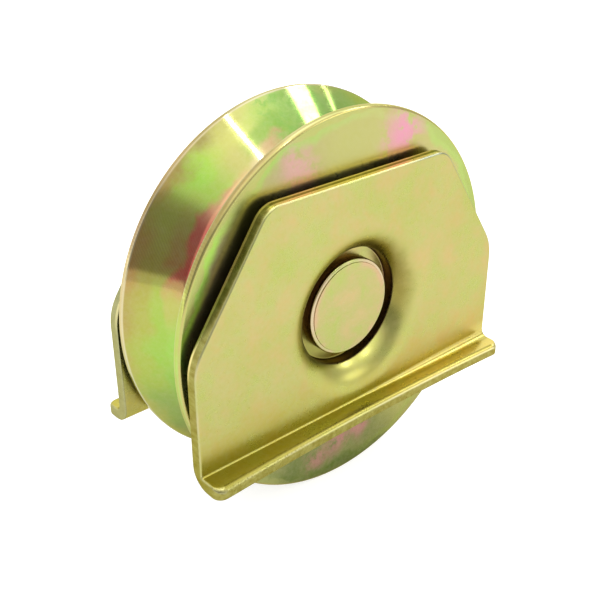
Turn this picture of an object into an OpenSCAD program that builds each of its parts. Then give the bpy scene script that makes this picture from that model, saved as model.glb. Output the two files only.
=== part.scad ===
// Gate wheel: a V-groove steel wheel on a sealed ball bearing, held by a
// headed axle pin between two pressed brackets with out-turned weld flanges.
// Origin: centre of the wheel. +Y along the axle, +Z up, +X along the track.

/* [Wheel] */
// Diameter of the wheel over its rims
wheel_d = 100; // [98:1:120]
// Width of the wheel over its side faces
wheel_w = 24.8; // [24:0.2:28]
// Included angle of the V groove, in degrees
groove_angle = 90; // [84:2:96]
// Width of the groove's mouth between the two lands
groove_mouth = 21.4; // [18:0.2:21.8]
// Radius at the root of the groove
groove_root_r = 2; // [1:0.5:3]
// Chamfer on the outer edge of each rim
rim_chamfer = 0.5; // [0.3:0.1:1]

/* [Brackets] */
// Thickness of the bracket sheet
plate_t = 3.2; // [2.8:0.1:3.6]
// Clear gap between the wheel's side face and the sheet
side_gap = 2; // [1.6:0.1:3]
// Length of the bracket along the track
base_l = 98.6; // [90:0.2:120]
// Length of the bracket's top edge
top_l = 56.2; // [50:0.2:64]
// Height of the shoulders, where the sides start to slant
shoulder_z = 4; // [0:0.5:10]
// Height of the top edge
top_z = 35.2; // [32:0.2:40]
// Height of the flange's upper face
flange_z = -24.9; // [-30:0.1:-24.6]
// How far the flange's ends stand out from the sheet's outer face
flange_out = 6.6; // [6:0.1:12]
// How far the flange's free edge is drawn in at mid length
flange_bow = 1.3; // [0.2:0.1:2]
// Radius in the crease of the flange bend
bend_r = 0.5; // [0.3:0.1:1]
// Radius around the outside of the flange bend
bend_back_r = 5.2; // [4.2:0.2:5.8]
// Corner radius of the shoulders
shoulder_r = 14; // [8:1:18]
// Corner radius at the ends of the top edge
top_r = 6; // [3:0.5:8]
// Corner radius of the flange's free corners
flange_r = 2; // [1:0.5:3]

/* [Dish] */
// Diameter of the dish where its cone meets the outer face
dish_d = 36.6; // [36.4:0.2:37.4]
// Radius blending the outer face into the cone
dish_blend = 8.8; // [7.6:0.2:9]
// Diameter of the recess that takes the pin head
recess_d = 31; // [30:0.5:31.5]
// Depth of the recess wall
recess_h = 3; // [2.4:0.1:3.2]
// Thickness of the recess floor
floor_t = 3; // [2.8:0.1:3.2]
// Diameter of the raised seat that bears on the bearing's inner ring
seat_d = 28; // [26:0.2:28.4]

/* [Axle pin] */
// Diameter of the pin's head
head_d = 25.4; // [24:0.2:27]
// Height of the pin's head
head_h = 3.6; // [3:0.1:4]
// Chamfer around the head's face
head_chamfer = 0.6; // [0.4:0.1:1.4]
// Height of the formed head at the far end
formed_h = 3.2; // [2.8:0.1:3.6]

/* [Bearing] */
// Radial play between a ball and each raceway
ball_play = 0.05; // [0.02:0.01:0.08]
// Radial play between a ball and its cage pocket
pocket_play = 0.08; // [0.05:0.01:0.1]
// Thickness of the cage sheet
cage_t = 0.8; // [0.6:0.1:0.9]
// Thickness of a shield
shield_t = 0.35; // [0.3:0.05:0.4]

/* [Hidden] */
$fn = 96;
bow_facets = 720;      // facets of the very large circle along the flange's edge

// Standard sizes of the deep-groove bearing, 20 x 47 x 14
brg_bore = 20;
brg_od = 47;
brg_w = 14;
ball_d = 7.938;
ball_count = 8;
pitch_r = 16.75;
inner_shoulder_r = 14.4;
outer_shoulder_r = 19.3;
race_r = 4.13;
ring_chamfer = 0.6;
shield_seat_r = 20.2;
shield_seat_h = 1.25;

// Standard sizes of the internal retaining ring for a 47 bore
clip_t = 1.75;
clip_groove_d = 49.5;
clip_groove_w = 1.85;
clip_width = 4.4;
clip_shift = 0.8;
clip_lug_r = 3.2;
clip_lug_tip_r = 18.35;
clip_hole_d = 2.5;
clip_gap = 5;

fit_play = 0.02;       // radial play of the fitted diameters
eps = 0.01;            // overshoot of a cutter through a face
big = 200;             // size of a cutter larger than the part

wheel_r = wheel_d / 2;
half_w = wheel_w / 2;
pocket_r = brg_od / 2 + fit_play;
lip_r = 20;            // bore of the lip the outer ring rests on
lip_t = 2;
pocket_chamfer = 0.6;

inner_y = half_w + side_gap;
outer_y = inner_y + plate_t;
flange_edge_y = outer_y + flange_out;
under_z = flange_z - plate_t;
join_z = under_z + bend_back_r;
floor_y = brg_w / 2 + floor_t;
dish_r = dish_d / 2;
recess_r = recess_d / 2;
floor_depth = outer_y - floor_y;
cone_depth = floor_depth - recess_h;
cone_a = atan2(cone_depth, dish_r - recess_r);
dish_wall = 1.7;       // wall left around the recess by the pressing
cup_r = recess_r + dish_wall;
seat_step = 0.5;
cup_chamfer = 0.5;
dish_blank_r = dish_r + 7;  // stock the dish is cut from

clip_steel = [0.30, 0.30, 0.31];
zinc = [0.80, 0.78, 0.50];
ring_steel = [0.72, 0.73, 0.74];
ball_steel = [0.84, 0.85, 0.86];
cage_steel = [0.62, 0.63, 0.64];

function unit(v) = v / norm(v);
function ball_angle(i) = 360 * (i - 1) / ball_count;

// Point on the edge from corner p towards corner q where a radius r starts
function tangent(p, q, other, r) =
    p + unit(q - p) * r / tan(corner_angle(p, q, other) / 2);
function corner_angle(p, q, other) = acos(unit(q - p) * unit(other - p));
function corner_centre(p, q, other, r) =
    p + unit(unit(q - p) + unit(other - p)) * r / sin(corner_angle(p, q, other) / 2);

// Convex outline with each corner rounded by a true arc
module rounded_outline(points, radii) {
    n = len(points);
    cut = [for (i = [0 : n - 1], side = [0 : 1])
        let (before = points[(i + n - 1) % n], after = points[(i + 1) % n])
        side == 0
            ? tangent(points[i], before, after, radii[i])
            : tangent(points[i], after, before, radii[i])];
    union() {
        polygon(cut);
        for (i = [0 : n - 1]) {
            translate(corner_centre(points[i], points[(i + n - 1) % n],
                points[(i + 1) % n], radii[i]))
                circle(r = radii[i]);
        }
    }
}

// Turns a body built about Z so that its axis lies along +Y
module along_axle() {
    rotate([-90, 0, 0]) children();
}

// ---- wheel ----

module groove_profile() {
    half_mouth = groove_mouth / 2;
    apex_r = wheel_r - half_mouth / tan(groove_angle / 2);
    root_centre_r = apex_r + groove_root_r / sin(groove_angle / 2);
    touch_r = root_centre_r - groove_root_r * sin(groove_angle / 2);
    touch_y = groove_root_r * cos(groove_angle / 2);
    over = 2;
    over_y = half_mouth + over * tan(groove_angle / 2);
    union() {
        polygon([[touch_r, -touch_y], [wheel_r + over, -over_y],
            [wheel_r + over, over_y], [touch_r, touch_y]]);
        translate([root_centre_r, 0]) circle(r = groove_root_r);
    }
}

module wheel_profile() {
    lip_end = brg_w / 2 + lip_t;
    clip_start = -brg_w / 2 - clip_groove_w;
    difference() {
        polygon([[lip_r, -half_w], [wheel_r - rim_chamfer, -half_w],
            [wheel_r, -half_w + rim_chamfer], [wheel_r, half_w - rim_chamfer],
            [wheel_r - rim_chamfer, half_w], [lip_r, half_w]]);
        groove_profile();
        translate([0, -half_w - eps]) square([pocket_r, half_w + eps + brg_w / 2]);
        translate([0, lip_end]) square([pocket_r, half_w - lip_end + eps]);
        translate([0, clip_start]) square([clip_groove_d / 2, clip_groove_w]);
        for (side = [-1, 1]) {
            polygon([[pocket_r - eps, side * (half_w - pocket_chamfer - eps)],
                [pocket_r + pocket_chamfer + eps, side * (half_w + eps)],
                [pocket_r - eps, side * (half_w + eps)]]);
        }
    }
}

module wheel() {
    color(zinc) along_axle() rotate_extrude() wheel_profile();
}

// ---- brackets ----

// Half section of the dish: radius against depth below the outer face
module dish_section() {
    blend_reach = dish_blend * tan(cone_a / 2);
    back_blend = dish_blend - plate_t;
    back_r = dish_r + plate_t * tan(cone_a / 2);
    back_reach = back_blend * tan(cone_a / 2);
    back_depth = plate_t + (back_r - cup_r) * tan(cone_a);
    seat_depth = outer_y - brg_w / 2;
    difference() {
        union() {
            polygon([[dish_r + blend_reach, 0],
                [dish_blank_r, 0],
                [dish_blank_r, seat_depth],
                [0, seat_depth],
                [0, floor_depth],
                [recess_r, floor_depth],
                [recess_r, cone_depth],
                [dish_r - blend_reach * cos(cone_a), blend_reach * sin(cone_a)]]);
            intersection() {
                translate([dish_r + blend_reach, dish_blend]) circle(r = dish_blend);
                translate([dish_r - blend_reach, 0]) square([2 * blend_reach, plate_t]);
            }
        }
        polygon([[back_r + back_reach, plate_t],
            [dish_blank_r + eps, plate_t],
            [dish_blank_r + eps, seat_depth + eps],
            [seat_d / 2, seat_depth + eps],
            [seat_d / 2, seat_depth - seat_step],
            [cup_r - cup_chamfer, seat_depth - seat_step],
            [cup_r, seat_depth - seat_step - cup_chamfer],
            [cup_r, back_depth],
            [back_r - back_reach * cos(cone_a), plate_t + back_reach * sin(cone_a)]]);
        translate([back_r + back_reach, plate_t + back_blend]) circle(r = back_blend);
        translate([-eps, 0]) square([brg_bore / 2 + eps, seat_depth + eps]);
    }
}

// Section across the bend and flange: distance from the wheel against height
module flange_section() {
    difference() {
        translate([inner_y, under_z])
            square([flange_edge_y - inner_y, join_z - under_z]);
        translate([outer_y + bend_r, flange_z]) square(big);
        translate([outer_y, flange_z + bend_r]) square(big);
        translate([outer_y + bend_r, flange_z + bend_r]) circle(r = bend_r);
    }
}

// Sheet edge of the flange in plan, drawn in along a shallow arc
module flange_plan() {
    depth = flange_edge_y - inner_y;
    blank = [[-base_l / 2, -big / 4], [base_l / 2, -big / 4],
        [base_l / 2, depth], [-base_l / 2, depth]];
    bow_r = (base_l * base_l / 4 + flange_bow * flange_bow) / (2 * flange_bow);
    difference() {
        rounded_outline(blank, [1, 1, flange_r, flange_r]);
        translate([0, depth - flange_bow + bow_r]) circle(r = bow_r, $fn = bow_facets);
    }
}

module flange() {
    intersection() {
        translate([-base_l / 2, 0, 0]) rotate([90, 0, 90])
            linear_extrude(height = base_l) flange_section();
        translate([0, inner_y, -big / 2]) linear_extrude(height = big) flange_plan();
    }
}

module plate() {
    outline = [[-base_l / 2, join_z - big / 4], [base_l / 2, join_z - big / 4],
        [base_l / 2, shoulder_z], [top_l / 2, top_z],
        [-top_l / 2, top_z], [-base_l / 2, shoulder_z]];
    intersection() {
        translate([0, outer_y, 0]) rotate([90, 0, 0]) linear_extrude(height = plate_t)
            rounded_outline(outline, [1, 1, shoulder_r, top_r, top_r, shoulder_r]);
        translate([-big / 2, 0, join_z]) cube([big, big, big]);
    }
}

// Corner taken off along the back of the bend
module bend_back_cutter() {
    translate([-big / 2, 0, 0]) rotate([90, 0, 90]) linear_extrude(height = big)
        difference() {
            translate([inner_y - 1, under_z - 1]) square(bend_back_r + 1);
            translate([inner_y + bend_back_r, under_z + bend_back_r])
                circle(r = bend_back_r);
        }
}

// Bracket on the +Y side of the wheel
module bracket() {
    cut_r = dish_r + dish_blend * tan(cone_a / 2);
    difference() {
        union() {
            difference() {
                union() {
                    plate();
                    flange();
                }
                along_axle() cylinder(r = cut_r, h = big);
            }
            intersection() {
                translate([0, outer_y, 0]) rotate([90, 0, 0])
                    rotate_extrude() dish_section();
                along_axle() cylinder(r = cut_r, h = big);
            }
        }
        bend_back_cutter();
    }
}

module bracket_front() {
    color(zinc) mirror([0, 1, 0]) bracket();
}

module bracket_rear() {
    color(zinc) bracket();
}

// ---- axle pin ----

module axle_pin() {
    shank_r = brg_bore / 2 - fit_play;
    head_r = head_d / 2;
    front = -floor_y - head_h;
    rear = floor_y + formed_h;
    edge = formed_h / 2;
    color(zinc) along_axle() rotate_extrude()
        polygon([[0, front], [head_r - head_chamfer, front],
            [head_r, front + head_chamfer], [head_r, -floor_y],
            [shank_r, -floor_y], [shank_r, floor_y],
            [head_r, floor_y], [head_r, rear - edge],
            [head_r - edge * tan(30), rear - edge / 3],
            [head_r - edge, rear], [0, rear]]);
}

// ---- bearing ----

module ring_section(low_r, high_r, low_cut, high_cut) {
    half = brg_w / 2;
    polygon([[low_r + low_cut, -half], [high_r - high_cut, -half],
        [high_r, -half + high_cut], [high_r, half - high_cut],
        [high_r - high_cut, half], [low_r + low_cut, half],
        [low_r, half - low_cut], [low_r, -half + low_cut]]);
}

module bearing_inner_ring() {
    centre_r = pitch_r - ball_d / 2 - ball_play + race_r;
    color(ring_steel) along_axle() rotate_extrude() difference() {
        ring_section(brg_bore / 2, inner_shoulder_r, ring_chamfer, ring_chamfer / 3);
        translate([centre_r, 0]) circle(r = race_r);
    }
}

module bearing_outer_ring() {
    centre_r = pitch_r + ball_d / 2 + ball_play - race_r;
    seat_z = brg_w / 2 - shield_seat_h;
    color(ring_steel) along_axle() rotate_extrude() difference() {
        ring_section(outer_shoulder_r, brg_od / 2, ring_chamfer / 3, ring_chamfer);
        translate([centre_r, 0]) circle(r = race_r);
        for (side = [0, 1]) mirror([0, side])
            translate([0, seat_z]) square([shield_seat_r, brg_w]);
    }
}

module ball(i) {
    color(ball_steel) along_axle() rotate([0, 0, ball_angle(i)])
        translate([pitch_r, 0, 0]) sphere(d = ball_d);
}

module tube(low_r, high_r, h) {
    difference() {
        cylinder(r = high_r, h = h);
        translate([0, 0, -eps]) cylinder(r = low_r, h = h + 2 * eps);
    }
}

cage_low_r = pitch_r - 1.25;
cage_high_r = pitch_r + 1.25;
rivet_r = 0.6;
rivet_head_r = 1.05;
rivet_head_h = 0.4;

// Half of the cage: a ring pressed into a cup over each ball
module cage_half() {
    hollow_r = ball_d / 2 + pocket_play;
    cup_top = hollow_r + cage_t;
    difference() {
        intersection() {
            union() {
                cylinder(r = cage_high_r, h = cage_t);
                for (i = [1 : ball_count]) rotate([0, 0, ball_angle(i)])
                    translate([pitch_r, 0, 0]) sphere(r = cup_top);
            }
            tube(cage_low_r, cage_high_r, cup_top + 1);
        }
        for (i = [1 : ball_count]) rotate([0, 0, ball_angle(i)]) {
            translate([pitch_r, 0, 0]) sphere(r = hollow_r);
            rotate([0, 0, 180 / ball_count]) translate([pitch_r, 0, -eps])
                cylinder(r = rivet_r + fit_play, h = cage_t + 2 * eps);
        }
    }
}

module cage_front() {
    color(cage_steel) mirror([0, 1, 0]) along_axle() cage_half();
}

module cage_rear() {
    color(cage_steel) along_axle() cage_half();
}

module cage_rivets() {
    length = 2 * cage_t;
    color(cage_steel) along_axle() for (i = [1 : ball_count])
        rotate([0, 0, ball_angle(i) + 180 / ball_count]) translate([pitch_r, 0, 0]) {
            translate([0, 0, -length / 2]) cylinder(r = rivet_r, h = length);
            for (side = [0, 1]) mirror([0, 0, side])
                translate([0, 0, length / 2]) cylinder(r = rivet_head_r, h = rivet_head_h);
        }
}

// Sheet disc with a rim that snaps into the outer ring, on the +Y side
module shield() {
    low_r = inner_shoulder_r + 0.35;
    high_r = shield_seat_r - fit_play;
    rim_w = 0.9;
    face = brg_w / 2 - 0.55;
    seat = brg_w / 2 - shield_seat_h;
    color(ring_steel) along_axle() rotate_extrude() union() {
        translate([low_r, face - shield_t]) square([high_r - low_r, shield_t]);
        translate([high_r - rim_w, seat]) square([rim_w, face - seat]);
    }
}

module shield_front() {
    mirror([0, 1, 0]) shield();
}

module shield_rear() {
    shield();
}

// ---- retaining ring ----

module retaining_ring() {
    rim_r = clip_groove_d / 2 - 0.05;
    inside_r = rim_r - clip_width + clip_shift;
    lug_x = clip_gap / 2 + clip_lug_r;
    lug_y = clip_lug_tip_r + clip_lug_r;
    color(clip_steel) translate([0, -brg_w / 2, 0]) rotate([90, 0, 0])
        linear_extrude(height = clip_t) difference() {
            union() {
                difference() {
                    circle(r = rim_r);
                    translate([0, clip_shift]) circle(r = inside_r);
                }
                intersection() {
                    circle(r = rim_r);
                    union() for (side = [-1, 1]) {
                        translate([side * lug_x, lug_y]) circle(r = clip_lug_r);
                        translate([side * lug_x - clip_lug_r, lug_y])
                            square([2 * clip_lug_r, clip_lug_r + 2]);
                    }
                }
            }
            translate([-clip_gap / 2, 0]) square([clip_gap, big]);
            for (side = [-1, 1]) translate([side * lug_x, lug_y])
                circle(d = clip_hole_d);
        }
}

// ---- parts ----

wheel();
bracket_front();
bracket_rear();
axle_pin();
bearing_inner_ring();
bearing_outer_ring();
ball(1);  // ball_1
ball(2);  // ball_2
ball(3);  // ball_3
ball(4);  // ball_4
ball(5);  // ball_5
ball(6);  // ball_6
ball(7);  // ball_7
ball(8);  // ball_8
cage_front();
cage_rear();
cage_rivets();
shield_front();
shield_rear();
retaining_ring();
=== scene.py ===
"""Gate wheel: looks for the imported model. Metres, +Y along the axle, +Z up."""
import math
from collections import namedtuple

import bpy
from mathutils import Matrix, Vector


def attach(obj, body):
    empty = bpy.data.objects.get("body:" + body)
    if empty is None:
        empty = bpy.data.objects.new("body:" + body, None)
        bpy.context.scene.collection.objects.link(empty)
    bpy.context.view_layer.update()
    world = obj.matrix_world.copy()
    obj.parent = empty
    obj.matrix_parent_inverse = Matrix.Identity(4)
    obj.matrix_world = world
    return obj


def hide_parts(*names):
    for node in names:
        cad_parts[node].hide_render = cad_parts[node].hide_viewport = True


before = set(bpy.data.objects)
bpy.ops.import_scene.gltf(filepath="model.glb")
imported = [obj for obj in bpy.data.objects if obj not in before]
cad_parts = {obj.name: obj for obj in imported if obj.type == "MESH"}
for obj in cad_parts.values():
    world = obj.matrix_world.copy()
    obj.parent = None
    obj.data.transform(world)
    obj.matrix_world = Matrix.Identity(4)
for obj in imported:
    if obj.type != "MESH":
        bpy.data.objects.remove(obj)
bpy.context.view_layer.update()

MM = 0.001

# Sizes in millimetres. The main ones are the CAD model's. The rounds, the sag,
# the widening crease and the raised face of the pin are only in the looks.
WHEEL_R = 50.0
HALF_W = 12.4
GROOVE_HALF = 10.7
GROOVE_APEX_R = 39.3
ROOT_R = 2.0
RIM_ROUND = 0.8
MOUTH_ROUND = 0.12
POCKET_ROUND = 0.5
POCKET_R = 23.52
LIP_R = 20.0
LIP_Y = (7.0, 9.0)
CLIP_R = 24.75
CLIP_Y = (-8.85, -7.0)

OUTER_D = 17.6          # bracket's outer face, from the wheel's mid plane
INNER_D = 14.4
FLOOR_D = 10.0          # recess floor
SEAT_D = 7.0            # seat on the bearing's inner ring
HALF_L = 49.3
TOP_HALF = 28.1
SHOULDER_Z = 4.0
TOP_Z = 35.2
SHOULDER_ARC = 14.0
TOP_ARC = 6.0
FLANGE_Z = -24.9        # flange's top
UNDER_Z = -28.1
EDGE_D = 24.2
BOW = 1.3               # how far the free edge curves in at its middle
FLANGE_ARC = 2.6
CREASE_ARC = 0.5
CREASE_GROWTH = 1.5     # how much wider the crease is at its +X end
CREASE_FROM = -8.0      # x where the crease starts to widen
CREASE_SPAN = 50.0
SAG = 0.4               # drop of the flange's top towards its free side
SAG_REACH = 3.4
BACK_ARC = 5.2
SHEET_T = OUTER_D - INNER_D

DISH_R = 18.3
RECESS_R = 15.5
RECESS_H = 3.0
DISH_BLEND = 8.8
DISH_LIP = 0.35         # rounding where the dish drops into the recess
FLOOR_ROUND = 0.4
CUP_R = 17.2
SEAT_R = 14.0
SEAT_H = 0.5
HOLE_R = 10.0

HEAD_R = 12.7
HEAD_H = 3.6
FORMED_H = 3.2
SHANK_R = 9.98
HEAD_ROUND = 0.9
FORMED_EDGE = 1.6       # width of the formed end's hammered edge
FORMED_KNEE = (0.92, 0.53)      # its corner, in from the side and the end
BOSS_INSET = 0.95       # the head's face stands up inside this border
BOSS_H = 0.2
FLAT_R = 4.0            # innermost ring of the mesh on both ends


# ---------------- mesh tools

def make_object(name, verts, faces, body, nodes, sharp_deg, masks=None):
    """Smooth mesh object in place of CAD nodes. masks are values per vertex."""
    mesh = bpy.data.meshes.new(name)
    mesh.from_pydata([Vector(v) * MM for v in verts], [], faces)
    mesh.validate()
    mesh.polygons.foreach_set("use_smooth", [True] * len(mesh.polygons))
    mesh.set_sharp_from_angle(angle=math.radians(sharp_deg))
    for mask, values in (masks or {}).items():
        layer = mesh.attributes.new(mask, "FLOAT", "POINT")
        layer.data.foreach_set("value", values)
    obj = bpy.data.objects.new(name, mesh)
    bpy.context.scene.collection.objects.link(obj)
    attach(obj, body)
    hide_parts(*nodes)
    return obj


def arc(cx, cy, r, start_deg, end_deg, steps):
    """Points on an arc, both ends included."""
    points = []
    for k in range(steps + 1):
        a = math.radians(start_deg + (end_deg - start_deg) * k / steps)
        points.append((cx + r * math.cos(a), cy + r * math.sin(a)))
    return points


def rounded(points, radii, steps):
    """Closed profile with each corner replaced by an arc of the given radius."""
    out = []
    n = len(points)
    for i, p in enumerate(points):
        r = radii[i]
        here = Vector(p)
        if r <= 0:
            out.append(tuple(here))
            continue
        to_a = Vector(points[i - 1]) - here
        to_b = Vector(points[(i + 1) % n]) - here
        limit = min(to_a.length, to_b.length) * 0.49
        to_a.normalize()
        to_b.normalize()
        half = to_a.angle(to_b) / 2
        reach = min(r / math.tan(half), limit)
        r = reach * math.tan(half)
        centre = here + (to_a + to_b).normalized() * (r / math.sin(half))
        a0 = here + to_a * reach - centre
        a1 = here + to_b * reach - centre
        for k in range(steps + 1):
            d = a0.lerp(a1, k / steps)
            d.normalize()
            out.append(tuple(centre + d * r))
    return out


def unit(value):
    """The value kept between 0 and 1."""
    return min(max(value, 0), 1)


def turned(profile, segments):
    """The (radius, y) profile's points at each step round the Y axis."""
    verts = []
    for s in range(segments):
        a = 2 * math.pi * s / segments
        verts += [(r * math.cos(a), y, r * math.sin(a)) for r, y in profile]
    return verts


def lathe(profile, segments):
    """Closed mesh of a closed profile that stays off the axis."""
    n = len(profile)
    faces = []
    for s in range(segments):
        t = (s + 1) % segments
        for i in range(n):
            j = (i + 1) % n
            faces.append((s * n + i, s * n + j, t * n + j, t * n + i))
    return turned(profile, segments), faces


def lathe_solid(profile, segments):
    """Closed mesh of an open profile that starts and ends on the axis."""
    n = len(profile) - 2
    verts = turned(profile[1:-1], segments)
    low, high = len(verts), len(verts) + 1
    verts += [(0, profile[0][1], 0), (0, profile[-1][1], 0)]
    faces = []
    for s in range(segments):
        t = (s + 1) % segments
        for i in range(n - 1):
            faces.append((s * n + i, s * n + i + 1, t * n + i + 1, t * n + i))
        faces.append((low, s * n, t * n))
        faces.append((high, t * n + n - 1, s * n + n - 1))
    return verts, faces


# ---------------- wheel

WHEEL_SEGMENTS = 320
PIN_SEGMENTS = 192
SLOPE_ROWS = 8          # mesh rows down each side of the groove


def build_wheel():
    root_centre = GROOVE_APEX_R + ROOT_R * math.sqrt(2)
    touch = ROOT_R / math.sqrt(2)       # where the slope meets the root's arc
    root = (root_centre - touch, -touch)
    front = rounded(
        [(POCKET_R, -HALF_W), (WHEEL_R, -HALF_W), (WHEEL_R, -GROOVE_HALF),
         root, (root[0], 0)],
        [POCKET_ROUND, RIM_ROUND, MOUTH_ROUND, 0, 0], 6)[:-2]
    back = [(r, -y) for r, y in reversed(front)]
    mouth = front[-1]
    slope_front = [(mouth[0] + (root[0] - mouth[0]) * k / SLOPE_ROWS,
                    mouth[1] + (root[1] - mouth[1]) * k / SLOPE_ROWS)
                   for k in range(1, SLOPE_ROWS)]
    slope_back = [(r, -y) for r, y in reversed(slope_front)]
    groove = arc(root_centre, 0, ROOT_R, 225, 135, 10)
    pocket = rounded(
        [(POCKET_R, HALF_W), (POCKET_R, LIP_Y[1]), (LIP_R, LIP_Y[1]),
         (LIP_R, LIP_Y[0]), (POCKET_R, LIP_Y[0]), (POCKET_R, CLIP_Y[1]),
         (CLIP_R, CLIP_Y[1]), (CLIP_R, CLIP_Y[0]), (POCKET_R, CLIP_Y[0]),
         (POCKET_R, -HALF_W)],
        [0, 0.2, 0.3, 0.2, 0.1, 0, 0, 0, 0.1, 0], 3)[1:-1]
    profile = front + slope_front + groove + slope_back + back + pocket
    verts, faces = lathe(profile, WHEEL_SEGMENTS)
    return make_object("wheel_turned", verts, faces, "wheel", ["wheel"],
                       22)


def build_pin():
    front, rear = -FLOOR_D - HEAD_H, FLOOR_D + FORMED_H
    profile = [(0, front)]
    profile += rounded(
        [(FLAT_R, front), (HEAD_R - BOSS_INSET, front),
         (HEAD_R - BOSS_INSET + 0.05, front + BOSS_H), (HEAD_R, front + BOSS_H),
         (HEAD_R, -FLOOR_D), (SHANK_R, -FLOOR_D),
         (SHANK_R, FLOOR_D), (HEAD_R, FLOOR_D), (HEAD_R, rear - FORMED_EDGE),
         (HEAD_R - FORMED_KNEE[0], rear - FORMED_KNEE[1]),
         (HEAD_R - FORMED_EDGE, rear), (FLAT_R, rear)],
        [0, 0.05, 0.04, HEAD_ROUND, 0.1, 0, 0, 0.1, 0.5, 0.5, 0.5, 0], 7)
    profile.append((0, rear))
    verts, faces = lathe_solid(profile, PIN_SEGMENTS)
    return make_object("axle_pin_turned", verts, faces, "frame", ["axle_pin"],
                       25)


# ---------------- brackets

EDGE_ROUND = 0.5        # rolled edge left by shearing
BACK_ROUND = 0.3        # the same round the sheet's back
FREE_ROUND = 1.55       # softer edge along the flange's free side
HOLE_HALF = 24.2        # half width of the square window around the dish
HOLE_TOP = 24.2
HOLE_LOW = -24.0
STEP = 1.25
COLS_IN = round(2 * HOLE_HALF / STEP)
COLS_OUT = 16           # columns on each side of the window
FIRST, LAST = COLS_OUT, COLS_OUT + COLS_IN
N_COLS = COLS_IN + 1 + 2 * COLS_OUT
COLUMN_EASE = 1.35      # columns lie closer together towards the sides
TOP_SQUEEZE = 0.14      # the window's columns draw in towards the top
BEND_STEPS = 8
BEND_END = INNER_D + BACK_ARC + 0.25    # where the flange's own rows start
NARROW_CREASE = 0.7     # widest crease that needs no lifted rows above it
LIFT_FROM = -18.0       # z where the rows above a wider crease start to lift
LIFT_SPAN = 6.0

# One row of the bracket's grid of vertices, front and back
Row = namedtuple("Row", "kind value half normal squeeze edge")


def slant_geometry():
    """Unit vector up the slanted side and its outward normal."""
    along = Vector((TOP_HALF - HALF_L, TOP_Z - SHOULDER_Z)).normalized()
    normal = Vector((along.y, -along.x))
    return along, normal


def corner_centres():
    """Centres of the shoulder's arc and of the top corner's arc."""
    along, _ = slant_geometry()
    half = math.atan2(-along.x, along.y) / 2
    shoulder = Vector((HALF_L - SHOULDER_ARC,
                       SHOULDER_Z - SHOULDER_ARC * math.tan(half)))
    turn = math.pi / 2 - 2 * half
    top = Vector((TOP_HALF - TOP_ARC * math.tan(turn / 2), TOP_Z - TOP_ARC))
    return shoulder, top


def side_point(z, inset):
    """Half width of the bracket at height z and the outline's normal there."""
    along, normal = slant_geometry()
    shoulder, top = corner_centres()
    r1, r2 = SHOULDER_ARC - inset, TOP_ARC - inset
    if z <= shoulder.y:
        return HALF_L - inset, Vector((1, 0))
    if z <= shoulder.y + normal.y * r1:
        dz = z - shoulder.y
        dx = math.sqrt(max(r1 * r1 - dz * dz, 0))
        return shoulder.x + dx, Vector((dx, dz)).normalized()
    if z <= top.y + normal.y * r2:
        start = shoulder + normal * r1
        return start.x + along.x * (z - start.y) / along.y, normal
    dz = min(z - top.y, r2)
    dx = math.sqrt(max(r2 * r2 - dz * dz, 0))
    return top.x + dx, Vector((dx, dz)).normalized()


def row_heights(inset):
    """Heights of the mesh rows from the window's lower edge to the top."""
    _, normal = slant_geometry()
    _, top = corner_centres()
    count = round((HOLE_TOP - HOLE_LOW) / STEP)
    heights = [HOLE_LOW + (HOLE_TOP - HOLE_LOW) * k / count for k in range(count + 1)]
    arc_start = top.y + normal.y * (TOP_ARC - inset)
    count = round((arc_start - HOLE_TOP) / STEP)
    heights += [HOLE_TOP + (arc_start - HOLE_TOP) * k / count
                for k in range(1, count + 1)]
    a0 = math.asin(normal.y)
    for k in range(1, 11):
        a = a0 + (math.pi / 2 - a0) * k / 10
        heights.append(top.y + (TOP_ARC - inset) * math.sin(a))
    return heights


def rear_base(z):
    """Distance of the sheet's back from the mid plane at height z."""
    start = UNDER_Z + BACK_ARC
    if z >= start:
        return INNER_D
    dz = start - z
    return INNER_D + BACK_ARC - math.sqrt(max(BACK_ARC ** 2 - dz * dz, 0))


def bend_back():
    """Back section points below the window, down to the flange."""
    start = math.degrees(math.asin((UNDER_Z + BACK_ARC - HOLE_LOW) / BACK_ARC))
    return arc(INNER_D + BACK_ARC, UNDER_Z + BACK_ARC, BACK_ARC,
               180 + start, 270, BEND_STEPS + 5)[1:]


def free_edge(x):
    """Distance of the flange's free edge from the mid plane."""
    f = min(abs(x) / HALF_L, 1)
    return EDGE_D - BOW * (1 - f * f)


def crease_radius(x):
    """The bend opens out towards one end, +X on the front bracket."""
    f = unit((x - CREASE_FROM) / CREASE_SPAN)
    return CREASE_ARC + CREASE_GROWTH * f * f * (3 - 2 * f)


def row_lift(x, z):
    """Room made for the wider crease by the lowest rows of the plate."""
    return max(crease_radius(x) - NARROW_CREASE, 0) * unit((LIFT_FROM - z) / LIFT_SPAN)


def crease_section(x, k):
    """Front section point k of the bend, from the plate to the flange."""
    r = crease_radius(x)
    if k == 0:
        return OUTER_D, (HOLE_LOW + row_lift(x, HOLE_LOW) + FLANGE_Z + r) / 2
    if k <= BEND_STEPS + 1:
        a = math.radians(180 + 90 * (k - 1) / BEND_STEPS)
        return OUTER_D + r + r * math.cos(a), FLANGE_Z + r + r * math.sin(a)
    share = (k - BEND_STEPS - 1) / 3
    start = OUTER_D + r
    return start + (BEND_END - start) * share, FLANGE_Z


def flange_drop(d, edge):
    """How far the flange's top has sagged at distance d from the mid plane."""
    f = max(0.0, 1 - (edge - d) / SAG_REACH)
    return SAG * f * f


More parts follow.
